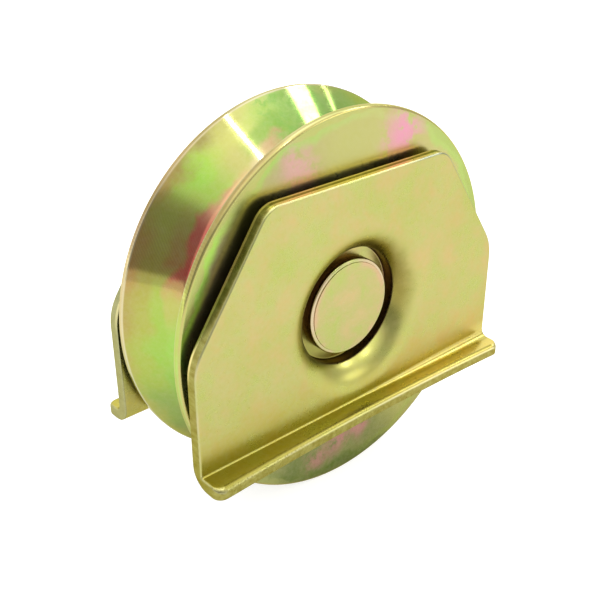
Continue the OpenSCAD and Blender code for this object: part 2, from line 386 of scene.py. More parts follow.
def flange_rows(inset):
    """(place, half width, normal, edge round) of each row of the flange.

    A place is a share of the way to the corners' arcs and a distance past it.
    """
    rows = [((share, 0.0), HALF_L - inset, Vector((1, 0)), inset)
            for share in (0.2, 0.4, 0.55, 0.7, 0.8, 0.9)]
    for k in range(9):
        a = math.pi / 2 * k / 8
        edge = inset + (FREE_ROUND - inset) * math.sin(a)
        r = FLANGE_ARC - edge
        rows.append(((1.0, r * math.sin(a)), HALF_L - FLANGE_ARC + r * math.cos(a),
                     Vector((math.cos(a), math.sin(a))), edge))
    return rows


def dish_loops():
    """(radius, depth) loops of the dish, front then back, outside in."""
    cone_depth = OUTER_D - FLOOR_D - RECESS_H
    slope = math.atan2(cone_depth, DISH_R - RECESS_R)
    reach = DISH_BLEND * math.tan(slope / 2)
    front = []
    for k in range(15):
        a = slope * k / 14
        front.append((DISH_R + reach - DISH_BLEND * math.sin(a),
                      DISH_BLEND * (1 - math.cos(a))))
    lip_top = cone_depth - DISH_LIP * math.sin(slope)
    for k in range(5):
        f = k / 4
        front.append((RECESS_R + DISH_LIP * math.cos(slope) * (1 - f) ** 1.8,
                      lip_top + (cone_depth + DISH_LIP - lip_top) * f))
    floor = OUTER_D - FLOOR_D
    front += [(RECESS_R, cone_depth + 1.1), (RECESS_R, floor - 0.9)]
    front += arc(RECESS_R - FLOOR_ROUND, floor - FLOOR_ROUND, FLOOR_ROUND, 0, 90, 4)
    front += [(14.2, floor), (12.9, floor), (11.4, floor), (HOLE_R, floor)]

    back_blend = DISH_BLEND - SHEET_T
    back_r = DISH_R + SHEET_T * math.tan(slope / 2)
    back_reach = back_blend * math.tan(slope / 2)
    seat = OUTER_D - SEAT_D
    back = []
    for k in range(9):
        a = slope * k / 8
        back.append((back_r + back_reach - back_blend * math.sin(a),
                     SHEET_T + back_blend * (1 - math.cos(a))))
    rim = seat - SEAT_H         # the cup's end, below the raised seat
    back += [(CUP_R, SHEET_T + (back_r - CUP_R) * math.tan(slope)),
             (CUP_R, rim - 0.5), (CUP_R - 0.5, rim), (SEAT_R, rim),
             (SEAT_R, seat), (12.0, seat), (HOLE_R, seat)]
    return front, back


class Sheet:
    """One bracket's mesh in the making. side is -1 in front and +1 at the rear."""

    def __init__(self, side):
        self.side = side
        self.verts, self.faces = [], []
        self.marks = {"sheared": [], "rolled_highlight": [], "rolled_shade": []}

    def add(self, x, y, z, sheared=0.0, rolled_highlight=0.0, rolled_shade=0.0):
        self.verts.append((x, y, z))
        for values, value in zip(self.marks.values(), (sheared, rolled_highlight, rolled_shade)):
            values.append(value)
        return len(self.verts) - 1

    def quad(self, a, b, c, d, flip):
        turned_over = flip != (self.side > 0)
        self.faces.append((a, d, c, b) if turned_over else (a, b, c, d))

    def strip(self, one, two, flip=False):
        """Quads between two closed loops of vertices."""
        for k in range(len(one)):
            m = (k + 1) % len(one)
            self.quad(one[k], one[m], two[m], two[k], flip)


def bracket_rows():
    """Rows of the grid, from the top of the plate to the flange's free edge."""
    sideways = Vector((1, 0))
    rows = []
    for z in reversed(row_heights(EDGE_ROUND)):
        half, normal = side_point(z, EDGE_ROUND)
        over = max(0.0, (z - HOLE_TOP) / (TOP_Z - HOLE_TOP))
        rows.append(Row("plate", z, half, normal, 1 - TOP_SQUEEZE * over, EDGE_ROUND))
    for value in enumerate(bend_back()):
        rows.append(Row("bend", value, HALF_L - EDGE_ROUND, sideways, 1, EDGE_ROUND))
    for value, half, normal, edge in flange_rows(EDGE_ROUND):
        rows.append(Row("flange", value, half, normal, 1, edge))
    return rows


def crosses_window(row):
    """Whether a row runs through the window that the dish fills."""
    return row.kind == "plate" and HOLE_LOW + 0.01 < row.value < HOLE_TOP - 0.01


def column_x(c, row):
    """x of column c on a row."""
    if FIRST <= c <= LAST:
        return (-HOLE_HALF + 2 * HOLE_HALF * (c - FIRST) / COLS_IN) * row.squeeze
    k = (c - LAST if c > LAST else FIRST - c) / COLS_OUT
    window = HOLE_HALF * row.squeeze
    x = window + (row.half - window) * (1 - (1 - k) ** COLUMN_EASE)
    return x if c > LAST else -x


def section_points(row, x, side):
    """Front and back of the sheet as (distance, z), where a row passes x."""
    own_x = side * -x           # the rear bracket is the same part turned round
    if row.kind == "plate":
        z = row.value
        return (OUTER_D, z + row_lift(own_x, z)), (rear_base(z), z)
    if row.kind == "bend":
        k, back = row.value
        return crease_section(own_x, k), back
    share, beyond = row.value
    edge = free_edge(x)
    d = BEND_END + (edge - FLANGE_ARC - BEND_END) * share + beyond
    return (d, FLANGE_Z - flange_drop(d, edge)), (d, UNDER_Z)


def add_grid(sheet, rows):
    """Plate, bend and flange around the window. Returns the vertex numbers."""
    index = {}
    for i, row in enumerate(rows):
        for c in range(N_COLS):
            if crosses_window(row) and FIRST < c < LAST:
                continue
            x = column_x(c, row)
            front, back = section_points(row, x, sheet.side)
            index["f", i, c] = sheet.add(x, sheet.side * front[0], front[1])
            index["b", i, c] = sheet.add(x, sheet.side * back[0], back[1])
    for i in range(len(rows) - 1):
        beside = crosses_window(rows[i]) or crosses_window(rows[i + 1])
        for c in range(N_COLS - 1):
            if beside and FIRST <= c < LAST:
                continue
            for face in "fb":
                sheet.quad(index[face, i, c], index[face, i + 1, c],
                           index[face, i + 1, c + 1], index[face, i, c + 1],
                           face == "b")
    return index


def window_ring(rows):
    """(row, column) round the window, counter-clockwise seen from outside."""
    crossing = [i for i, row in enumerate(rows) if crosses_window(row)]
    top, low = crossing[0] - 1, crossing[-1] + 1
    ring = [(low, c) for c in range(FIRST, LAST)]
    ring += [(i, LAST) for i in range(low, top, -1)]
    ring += [(top, c) for c in range(LAST, FIRST, -1)]
    return ring + [(i, FIRST) for i in range(top, low)]


def add_dish(sheet, rows, index):
    """Front and back of the dish, and the wall of the pin's hole."""
    ring = window_ring(rows)
    hole = []
    for face, loops in zip("fb", dish_loops()):
        previous = [index[face, i, c] for i, c in ring]
        outer = [(sheet.verts[v][0], sheet.verts[v][2]) for v in previous]
        angles = [math.atan2(z, x) for x, z in outer]
        rim = loops[0][0]
        halfway = [((x + rim * math.cos(a)) / 2, (z + rim * math.sin(a)) / 2, 0.0)
                   for (x, z), a in zip(outer, angles)]
        round_loops = [[(r * math.cos(a), r * math.sin(a), h) for a in angles]
                       for r, h in loops]
        for points in [halfway] + round_loops:
            current = []
            for x, z, h in points:
                d = OUTER_D - h if face == "f" else rear_base(z) - max(h - SHEET_T, 0.0)
                current.append(sheet.add(x, sheet.side * d, z))
            sheet.strip(previous, current, face == "b")
            previous = current
        hole.append(previous)
    sheet.strip(*hole)


def outward(sheet, rows, i, c):
    """Direction away from the sheet at a place on the grid's border."""
    row, hand = rows[i], -1 if c == 0 else 1
    along_row = 0 < c < N_COLS - 1
    if i == 0 and along_row:
        return Vector((0, 0, 1))
    if i == len(rows) - 1 and along_row:
        return Vector((0, sheet.side, 0))
    if row.kind == "flange":
        return Vector((hand * row.normal.x, sheet.side * row.normal.y, 0))
    return Vector((hand * row.normal.x, 0, row.normal.y))


def edge_marks(front_share, free, x):
    """How sheared the edge is, and where its painted highlight and painted shade lie, at a
    share of its front arc.
    """
    sheared = 1.0 if front_share > 0.8 else 0.0
    if not free:
        return sheared, 1.0 if 0.3 < front_share < 0.9 else 0.0, 0.0
    # Painted highlight low on the free edge's round, stronger towards the bracket's own +X
    # end, and painted shade on the round's upper part.
    shine = 1.2 + 0.8 * unit((x + 40) / 55)
    rolled_highlight = shine if 0.6 < front_share < 0.7 else 0.0
    return sheared, rolled_highlight, 1.0 if 0.1 < front_share < 0.45 else 0.0


def add_edge(sheet, rows, index):
    """Edge all round, from the front surface to the back."""
    low, right = len(rows) - 1, N_COLS - 1
    border = [(i, 0) for i in range(low, 0, -1)]
    border += [(0, c) for c in range(right)]
    border += [(i, right) for i in range(low)]
    border += [(low, c) for c in range(right, 0, -1)]
    # shares of the front arc, of the flat and of the back arc
    steps = [(k / 6, 0, 0) for k in range(1, 7)]
    steps += [(1, k / 4, 0) for k in range(1, 5)]
    steps += [(1, 1, k / 3) for k in range(1, 3)]
    previous = [index["f", i, c] for i, c in border]
    for front_share, flat_share, back_share in steps:
        turn, back_turn = math.pi / 2 * front_share, math.pi / 2 * back_share
        current = []
        for i, c in border:
            edge = rows[i].edge
            front = Vector(sheet.verts[index["f", i, c]])
            back = Vector(sheet.verts[index["b", i, c]])
            depth = edge * (1 - math.cos(turn))
            depth += (SHEET_T - BACK_ROUND - edge) * flat_share
            depth += BACK_ROUND * math.sin(back_turn)
            out = edge * math.sin(turn) - BACK_ROUND * (1 - math.cos(back_turn))
            point = front + (back - front) * (depth / SHEET_T)
            point += outward(sheet, rows, i, c) * out
            marks = edge_marks(front_share, i == low, sheet.side * -front.x)
            current.append(sheet.add(*point, *marks))
        sheet.strip(previous, current)
        previous = current
    sheet.strip(previous, [index["b", i, c] for i, c in border])


def build_bracket(name, side, node):
    """side is -1 for the front bracket and +1 for the rear one."""
    sheet, rows = Sheet(side), bracket_rows()
    index = add_grid(sheet, rows)
    add_dish(sheet, rows, index)
    add_edge(sheet, rows, index)
    return make_object(name, sheet.verts, sheet.faces, "frame", [node],
                       35, sheet.marks)


# ---------------- materials

class Nodes:
    """Small helper that adds nodes to one node tree."""

    def __init__(self, tree):
        self.tree = tree
        tree.nodes.clear()

    def new(self, kind, **inputs):
        """Adds a node with the given inputs."""
        node = self.tree.nodes.new("ShaderNode" + kind)
        for name, value in inputs.items():
            self.put(node.inputs[name], value)
        return node

    def put(self, socket, value):
        if isinstance(value, bpy.types.NodeSocket):
            self.tree.links.new(value, socket)
        elif isinstance(value, tuple) and len(value) == 3 and len(socket.default_value) == 4:
            socket.default_value = (*value, 1)
        else:
            socket.default_value = value

    def coords_mm(self):
        return self.vector("SCALE", self.new("TexCoord").outputs["Object"], scale=1000)

    def vector(self, op, a, b=None, scale=None):
        node = self.new("VectorMath")
        node.operation = op
        self.put(node.inputs[0], a)
        if b is not None:
            self.put(node.inputs[1], b)
        if scale is not None:
            self.put(node.inputs["Scale"], scale)
        return node.outputs["Value" if op in ("LENGTH", "DOT_PRODUCT") else "Vector"]

    def shifted(self, v, *offset):
        """The coordinates moved aside, so that a noise differs from others."""
        return self.vector("ADD", v, offset)

    def math(self, op, a, b=None, c=None):
        node = self.new("Math")
        node.operation = op
        for socket, value in zip(node.inputs, (a, b, c)):
            if value is not None:
                self.put(socket, value)
        return node.outputs[0]

    def times(self, product, *factors):
        """Product of two or more values."""
        for factor in factors:
            product = self.math("MULTIPLY", product, factor)
        return product

    def split(self, v):
        return self.new("SeparateXYZ", Vector=v).outputs

    def join(self, x, y, z):
        return self.new("CombineXYZ", X=x, Y=y, Z=z).outputs[0]

    def noise(self, vector, scale, detail=2.0, rough=0.5, warp=0.0, output="Fac"):
        node = self.new("TexNoise", Vector=vector, Scale=scale, Detail=detail,
                        Roughness=rough, Distortion=warp)
        return node.outputs[output]

    def ramp(self, fac, stops, smooth=True):
        """Colour ramp from (position, colour) stops in rising order."""
        node = self.new("ValToRGB", Fac=fac)
        node.color_ramp.interpolation = "EASE" if smooth else "LINEAR"
        elements = node.color_ramp.elements
        while len(elements) > 1:
            elements.remove(elements[-1])
        elements[0].position = stops[0][0]
        elements[0].color = (*stops[0][1], 1)
        for position, colour in stops[1:]:
            elements.new(position).color = (*colour, 1)
        return node.outputs[0]

    def mix(self, fac, a, b):
        node = self.new("Mix")
        node.data_type = "RGBA"
        self.put(node.inputs["Factor"], fac)
        self.put(node.inputs[6], a)
        self.put(node.inputs[7], b)
        return node.outputs[2]

    def remap(self, value, low, high, to_low=0.0, to_high=1.0, kind="LINEAR"):
        node = self.new("MapRange")
        node.interpolation_type = kind
        for name, v in (("Value", value), ("From Min", low), ("From Max", high),
                        ("To Min", to_low), ("To Max", to_high)):
            self.put(node.inputs[name], v)
        return node.outputs[0]

    def eased(self, value, low, high, to_low=0.0, to_high=1.0):
        """As remap, with soft ends."""
        return self.remap(value, low, high, to_low, to_high, "SMOOTHSTEP")

    def attribute(self, name):
        node = self.new("Attribute")
        node.attribute_name = name
        return node.outputs["Fac"]

    def bump(self, height, distance, strength):
        return self.new("Bump", Distance=distance, Strength=strength,
                        Height=height).outputs[0]


class Shader(Nodes):
    """A new material with one Principled BSDF."""

    def __init__(self, name):
        self.material = bpy.data.materials.new(name)
        self.material.use_nodes = True
        super().__init__(self.material.node_tree)
        self.bsdf = self.new("BsdfPrincipled")
        self.new("OutputMaterial", Surface=self.bsdf.outputs[0])

    def metal(self, colour, roughness, relief, grazing=None):
        """Sets up a metal surface and returns the material."""
        self.put(self.bsdf.inputs["Base Color"], colour)
        self.bsdf.inputs["Metallic"].default_value = 1.0
        if grazing:
            self.bsdf.inputs["Specular Tint"].default_value = grazing
        self.put(self.bsdf.inputs["Roughness"], roughness)
        self.put(self.bsdf.inputs["Normal"], relief)
        return self.material


def srgb(r, g, b):
    """Linear colour from 0-255 display values."""
    return tuple(((v / 255 + 0.055) / 1.055) ** 2.4 if v > 10 else v / 255 / 12.92
                 for v in (r, g, b))


METAL = 0.60            # share of the light that the coating throws back


def zinc(r, g, b):
    """Coating colour from the display values it has under a white surround."""
    return tuple(v * METAL for v in srgb(r, g, b))


GOLD = zinc(214, 207, 124)
PALE = zinc(236, 232, 196)
# Dark brown for the groove's tool marks, and painted shade round the pin's head and in its
# recess.
SHADE_AND_TOOL_MARK_BROWN = (0.15, 0.075, 0.045)
EDGE_HIGHLIGHT_GOLD = (0.92, 0.78, 0.34)           # painted highlight on the upper sheared edges
BEND_PAINTED_LIGHT = (0.68, 0.56, 0.17)           # painted light: the bend's right end lit warmer and brighter
GRAZING = (0.66, 0.62, 0.42, 1)     # tint of the coating seen edge on
COAT_RELIEF = 0.00001               # metres
GROOVE_DEEP_R = 41.5                # radius where the groove's innermost band lies
RING_PITCH = 2.6                    # turning marks
HATCH_TURNS = 340.0                 # phase of the tool marks round the wheel
HATCH_SLANT = 11.0
SEAM_DEG = 60                       # where the film's pattern starts round the wheel

# Pink spots on the wheel's sides: centre and size in mm, strength, colour
# ROSE is a darker pink; on the spots low on the front of the wheel its darkness is painted
# shade.
PINK, ROSE = zinc(250, 170, 194), zinc(206, 142, 138)
SPOTS = (
    ((17.6, -12.4, 40.8), 6.0, 1.0, PINK), ((-15.0, -12.4, 39.5), 5.0, 0.6, PINK),
    ((-10.0, -12.4, -41.8), 3.4, 0.8, ROSE), ((-2.5, -12.4, -40.6), 3.8, 1.0, ROSE),
    ((5.5, -12.4, -39.6), 3.6, 1.0, ROSE),
    ((-31.0, 12.4, 30.0), 6.0, 0.7, ROSE), ((28.0, 12.4, -28.0), 5.0, 0.6, ROSE))


def angle_share(s, x, z):
    """Angle round the axle as 0-1, with the seam below the wheel on the right."""
    turn = math.radians(180 - SEAM_DEG)
    along = s.math("ADD", s.times(x, math.cos(turn)), s.times(z, math.sin(turn)))
    across = s.math("SUBTRACT", s.times(z, math.cos(turn)), s.times(x, math.sin(turn)))
    return s.math("MULTIPLY_ADD", s.math("ARCTAN2", across, along), 0.5 / math.pi, 0.5)


def lane(s, share, stops):
    """Colour band round the wheel from (degrees, colour) stops.

    The first stop is at the seam, and the band ends with its colour too.
    """
    closed = stops + [(stops[0][0] + 360, stops[0][1])]
    return s.ramp(share, [((deg + SEAM_DEG) / 360, zinc(*c)) for deg, c in closed])


def spot(s, p, centre, size, softness):
    """Soft round mask about a point, both in millimetres."""
    away = s.vector("LENGTH", s.vector("SUBTRACT", p, centre))
    return s.eased(away, size * (1 + softness), size * (1 - softness))


def groove_colour(s, q, y, share, depth, big):
    """Rainbow film in the groove, from its mouth (depth 0) to its root (1)."""
    rim = lane(s, share, [
        (-60, (200, 192, 110)), (60, (172, 196, 96)), (92, (186, 208, 120)),
        (108, (200, 200, 116)), (122, (158, 146, 78)), (140, (196, 166, 90)),
        (162, (200, 158, 92)), (170, (194, 172, 94)), (190, (196, 188, 96)),
        (215, (190, 194, 100))])
    middle = lane(s, share, [
        (-60, (200, 196, 110)), (60, (160, 198, 104)), (90, (158, 206, 108)),
        (101, (176, 206, 102)), (110, (198, 208, 114)), (118, (202, 202, 110)),
        (130, (172, 222, 84)), (141, (184, 194, 88)), (160, (188, 178, 84)),
        (172, (192, 196, 90)), (190, (184, 204, 88)), (210, (152, 188, 94)),
        (232, (166, 158, 106))])
    deep = lane(s, share, [
        (-60, (204, 190, 112)), (60, (164, 196, 104)), (88, (150, 200, 96)),
        (100, (140, 184, 78)), (108, (154, 186, 88)), (117, (200, 196, 114)),
        (132, (176, 214, 88)), (141, (184, 184, 88)), (150, (190, 160, 88)),
        (157, (196, 146, 86)), (161, (190, 188, 86)), (168, (182, 212, 88)),
        (184, (172, 214, 86)), (202, (158, 208, 90)), (216, (160, 164, 96))])
    root = lane(s, share, [
        (-60, (206, 188, 112)), (60, (168, 196, 104)), (86, (170, 200, 104)),
        (96, (186, 152, 108)), (105, (200, 166, 120)), (113, (216, 200, 148)),
        (120, (212, 184, 124)), (132, (222, 160, 124)), (143, (226, 112, 100)),
        (156, (228, 76, 80)), (160, (224, 100, 88)), (163, (220, 172, 110)),
        (168, (204, 206, 106)), (182, (170, 222, 90)), (202, (156, 210, 94)),
        (216, (166, 134, 96))])
    colour = s.mix(s.eased(depth, 0.0, 0.38), rim, middle)
    colour = s.mix(s.eased(depth, 0.42, 0.68), colour, deep)
    colour = s.mix(s.eased(depth, 0.80, 1.0), colour, root)
    green = s.times(s.eased(share, 0.375, 0.40), s.eased(share, 0.463, 0.45))
    stain = s.noise(s.vector("MULTIPLY", q, (1.0, 1.4, 1.0)), 0.22, 5, 0.65)
    stain = s.times(green, s.eased(stain, 0.42, 0.62))
    colour = s.mix(s.times(stain, 0.75), colour, zinc(132, 188, 84))
    calm = s.mix(s.remap(big, 0.35, 0.65), zinc(204, 192, 116), zinc(192, 206, 120))
    return s.mix(s.remap(far_slope(s, y), 0.0, 1.0, 0.8, 0.0), colour, calm)


def far_slope(s, y):
    """1 on the groove's side that faces the front, 0 on the hidden one."""
    return s.eased(y, -1.5, 1.0)


def face_colour(s, p, q, y, share, soft_radius):
    """Film on the wheel's flat sides, with its pink spots, and painted shade low on the
    wheel.
    """
    # Painted shade: the outer, inner and hem lanes turn dark low on the wheel, round 240 to
    # 290 degrees.
    outer = lane(s, share, [
        (-60, (188, 196, 104)), (10, (206, 216, 124)), (30, (196, 222, 120)),
        (56, (198, 222, 124)), (80, (210, 214, 130)), (92, (200, 214, 124)),
        (116, (180, 218, 104)), (132, (196, 204, 116)), (146, (186, 234, 98)),
        (172, (172, 234, 100)), (186, (196, 222, 128)), (230, (180, 186, 112)),
        (246, (118, 136, 66)), (272, (104, 126, 56))])
    inner = lane(s, share, [
        (-60, (196, 194, 112)), (20, (218, 206, 138)), (60, (214, 206, 132)),
        (92, (206, 204, 124)), (118, (196, 186, 128)), (134, (190, 194, 104)),
        (152, (196, 184, 140)), (175, (196, 184, 124)), (230, (182, 180, 118)),
        (250, (128, 142, 78)), (282, (144, 150, 90))])
    hem = lane(s, share, [
        (-60, (190, 186, 112)), (20, (190, 208, 114)), (50, (192, 212, 118)),
        (80, (206, 204, 118)), (200, (206, 204, 120)), (236, (180, 186, 110)),
        (254, (114, 128, 66)), (284, (108, 124, 62))])
    colour = s.mix(s.eased(soft_radius, 47.6, 45.6), outer, inner)
    colour = s.mix(s.eased(soft_radius, 47.9, 48.7, 0.0, 0.8), colour, hem)
    colour = s.mix(s.remap(y, 1.0, 3.0, 0.0, 0.55), colour, zinc(208, 204, 122))
    broken = s.eased(s.noise(s.shifted(p, 0.0, 50.0, 0.0), 0.3, 4, 0.6), 0.34, 0.54)
    for centre, size, amount, tint in SPOTS:
        mask = s.times(spot(s, q, centre, size, 0.7), amount, broken)
        colour = s.mix(mask, colour, tint)
    return colour


def land_colour(s, y, share, mid):
    """Film on the two narrow lands beside the groove."""
    near_land = lane(s, share, [
        (-60, (206, 192, 116)), (60, (206, 200, 128)), (96, (206, 208, 136)),
        (108, (222, 214, 148)), (117, (180, 162, 104)), (132, (190, 170, 104)),
        (141, (182, 168, 92)), (150, (190, 176, 98)), (160, (206, 214, 108)),
        (170, (198, 234, 110)), (192, (202, 228, 134)), (206, (186, 190, 116)),
        (240, (200, 190, 116))])
    # Painted highlight: the far land's near-white stretch round 160 to 200 degrees.
    far_land = lane(s, share, [
        (-60, (206, 192, 116)), (60, (178, 174, 132)), (100, (222, 216, 170)),
        (118, (184, 166, 112)), (130, (208, 178, 128)), (141, (178, 150, 98)),
        (150, (212, 182, 140)), (161, (240, 218, 166)), (176, (248, 232, 182)),
        (196, (228, 232, 184)), (240, (206, 192, 116))])
    colour = s.mix(far_slope(s, y), near_land, far_land)
    return s.mix(s.remap(mid, 0.42, 0.7, 0.0, 0.3), colour, zinc(216, 180, 116))


def zinc_wheel():
    s = Shader("zinc_wheel")
    p = s.coords_mm()
    big = s.noise(p, 0.035, 2, 0.5, 0.4)
    mid = s.noise(s.shifted(p, 31.0, 7.0, 12.0), 0.13, 3, 0.55, 0.6)
    fine = s.noise(p, 0.9, 4, 0.65)
    swirl = s.shifted(s.noise(p, 0.09, 4, output="Color"), -0.5, -0.5, -0.5)
    q = s.vector("ADD", p, s.vector("SCALE", swirl, scale=9.0))
    x, y, z = s.split(p)
    soft_x, _, soft_z = s.split(q)
    radius = s.vector("LENGTH", s.join(x, 0.0, z))
    soft_radius = s.vector("LENGTH", s.join(soft_x, 0.0, soft_z))
    share = angle_share(s, soft_x, soft_z)
    from_middle = s.math("ABSOLUTE", y)
    on_side = s.eased(from_middle, HALF_W - 0.5, HALF_W - 0.1)
    at_rim = s.eased(radius, WHEEL_R - 0.35, WHEEL_R - 0.05)
    on_land = s.times(at_rim, s.remap(on_side, 0.0, 1.0, 1.0, 0.4))

    depth = s.remap(soft_radius, WHEEL_R, GROOVE_DEEP_R)
    colour = s.mix(on_side, groove_colour(s, q, y, share, depth, big),
                   face_colour(s, p, q, y, share, soft_radius))
    colour = s.mix(on_land, colour, land_colour(s, y, share, mid))
    # Painted highlight: a pale line along the edges of the groove's mouth.
    to_mouth = s.math("ABSOLUTE", s.math("SUBTRACT", from_middle, GROOVE_HALF))
    at_mouth = s.times(s.eased(to_mouth, 0.45, 0.1), on_land)
    colour = s.mix(s.times(at_mouth, 0.3), colour, PALE)
    # Painted highlight on the round of the rim's outer edges.
    rim_highlight = s.eased(radius, WHEEL_R - RIM_ROUND, WHEEL_R - 0.4)
    colour = s.mix(s.times(rim_highlight, on_side, 0.5), colour, zinc(232, 204, 128))
    colour = s.mix(s.remap(mid, 0.35, 0.75, 0.0, 0.18), colour, GOLD)
    colour = s.mix(s.remap(fine, 0.3, 0.7, 0.0, 0.12), colour, PALE)

    # cross hatching left by the cutting tool on one stretch of the groove
    phase = s.math("ADD", s.times(s.math("ARCTAN2", z, x), HATCH_TURNS),
                   s.times(radius, HATCH_SLANT))
    chatter = s.math("SINE", s.math("ADD", phase, s.times(mid, 14.0)))
    ragged = s.times(s.eased(share, 0.545, 0.585), s.eased(share, 0.625, 0.605),
                     s.math("SUBTRACT", 1.0, on_side))
    hatch = s.times(s.remap(chatter, -0.4, 1.0), ragged)
    colour = s.mix(s.times(hatch, 0.16), colour, SHADE_AND_TOOL_MARK_BROWN)

    blur = s.math("ADD", s.times(mid, 0.6), s.times(fine, 0.4))
    roughness = s.mix(on_side, s.remap(blur, 0.3, 0.7, 0.08, 0.13),
                      s.remap(blur, 0.3, 0.7, 0.20, 0.28))
    rings = s.noise(s.join(s.times(radius, RING_PITCH), s.times(y, RING_PITCH),
                           s.times(share, 6.0)), 1.0, 3, 0.6)
    height = s.math("ADD", rings, s.times(chatter, ragged, 0.14))
    s.bsdf.inputs["Anisotropic"].default_value = 0.7
    s.bsdf.inputs["Anisotropic Rotation"].default_value = 0.25
    tangent = s.new("Tangent")
    tangent.direction_type = "RADIAL"
    tangent.axis = "Y"
    s.put(s.bsdf.inputs["Tangent"], tangent.outputs[0])
    return s.metal(colour, roughness, s.bump(height, COAT_RELIEF, 0.5), GRAZING)


def plate_colour(s, p, x, z, reach, mid, fine):
    """Clouds of the film on the bracket, warmer towards and in the bend, with painted shade
    round the crease and painted light at the bend's right end.
    """
    cloud = s.noise(s.shifted(p, 5.0, 0.0, 3.0), 0.055, 4, 0.6, 0.2)
    colour = s.ramp(cloud, [
        (0.30, zinc(198, 208, 104)), (0.44, zinc(211, 206, 118)),
        (0.56, zinc(216, 209, 130)), (0.70, zinc(230, 203, 130))], smooth=False)
    tint = s.ramp(mid, [
        (0.32, zinc(198, 214, 112)), (0.5, zinc(214, 207, 126)),
        (0.68, zinc(234, 200, 136))], smooth=False)
    colour = s.mix(0.5, colour, tint)
    warm = s.times(s.eased(z, -8.0, -24.0), s.remap(mid, 0.3, 0.7, 0.3, 0.8))
    warm_colour = s.mix(s.eased(x, -5.0, 32.0), zinc(201, 190, 66), zinc(220, 184, 84))
    colour = s.mix(warm, colour, warm_colour)
    on_front = s.remap(reach, OUTER_D - 0.3, OUTER_D - 0.1)
    # Painted shade in the trough round the crease.
    trough = s.times(s.eased(z, -20.5, FLANGE_Z + 0.5), on_front)
    colour = s.mix(s.times(trough, 0.35), colour, zinc(190, 178, 72))
    # Painted light: the lower right of the plate and the flange beside it lit warmer and
    # brighter, away from the crease.
    lit_bend = s.times(s.eased(z, -19.0, -23.0), s.eased(x, 2.0, 26.0))
    flat = s.math("MAXIMUM", s.remap(reach, OUTER_D + 0.5, OUTER_D + 0.1),
                  s.remap(reach, OUTER_D + 2.2, OUTER_D + 2.8))
    colour = s.mix(s.times(lit_bend, flat, on_front, 0.45), colour, BEND_PAINTED_LIGHT)
    return s.mix(s.remap(fine, 0.35, 0.7, 0.0, 0.12), colour, PALE)


def edge_colour(s, p, x, y, z, reach, mid, scar, sheared, colour):
    """Torn metal along the bracket's sheared edges, with painted highlights and painted
    shade on their rounds.
    """
    torn = s.ramp(scar, [(0.35, zinc(144, 132, 54)), (0.65, zinc(182, 176, 100))],
                  smooth=False)
    colour = s.mix(s.times(sheared, 0.8), colour, torn)
    # Painted highlight: a pale band on the rounded edges.
    rolled_highlight = s.attribute("rolled_highlight")
    colour = s.mix(s.times(rolled_highlight, s.remap(mid, 0.35, 0.65, 0.12, 0.36)), colour,
                   zinc(226, 228, 190))
    # Painted shade on the upper part of the free edge's round.
    colour = s.mix(s.times(s.attribute("rolled_shade"), 0.85), colour, zinc(150, 140, 62))
    # painted highlight: a bright line towards the back of the upper edges, and on the top's
    # front half
    depth = s.math("SUBTRACT", OUTER_D, reach)
    back_edge_highlight = s.times(s.remap(depth, 2.2, 2.5), s.remap(z, -2.0, 6.0))
    colour = s.mix(s.times(back_edge_highlight, sheared, 0.8), colour, EDGE_HIGHLIGHT_GOLD)
    near_half = s.times(s.remap(depth, 1.5, 1.3), s.remap(z, TOP_Z - 1.0, TOP_Z - 0.3))
    colour = s.mix(s.times(near_half, sheared, 0.9), colour, EDGE_HIGHLIGHT_GOLD)
    # painted highlight: a pale grey line on the upper right of the rounded edge
    right_edge_highlight = s.times(s.eased(x, 12.0, 22.0), s.eased(z, 0.0, 10.0),
                   s.remap(mid, 0.3, 0.6, 0.5, 0.9), s.remap(rolled_highlight, 0.0, 0.6))
    colour = s.mix(right_edge_highlight, colour, zinc(164, 174, 158))
    # fine specks at the left end of the flange's free edge
    specks = s.remap(s.noise(s.shifted(p, 60.0, 0.0, 0.0), 2.4, 1), 0.5, 0.66)
    specks = s.times(specks, s.eased(x, -14.0, -30.0), s.remap(rolled_highlight, 0.0, 0.3),
                     s.remap(reach, OUTER_D + 3.0, OUTER_D + 4.0))
    colour = s.mix(s.times(specks, 0.6), colour, zinc(130, 120, 60))
    behind = s.times(s.remap(y, 0.0, 5.0), sheared, 0.5)
    return s.mix(behind, colour, zinc(196, 200, 160))


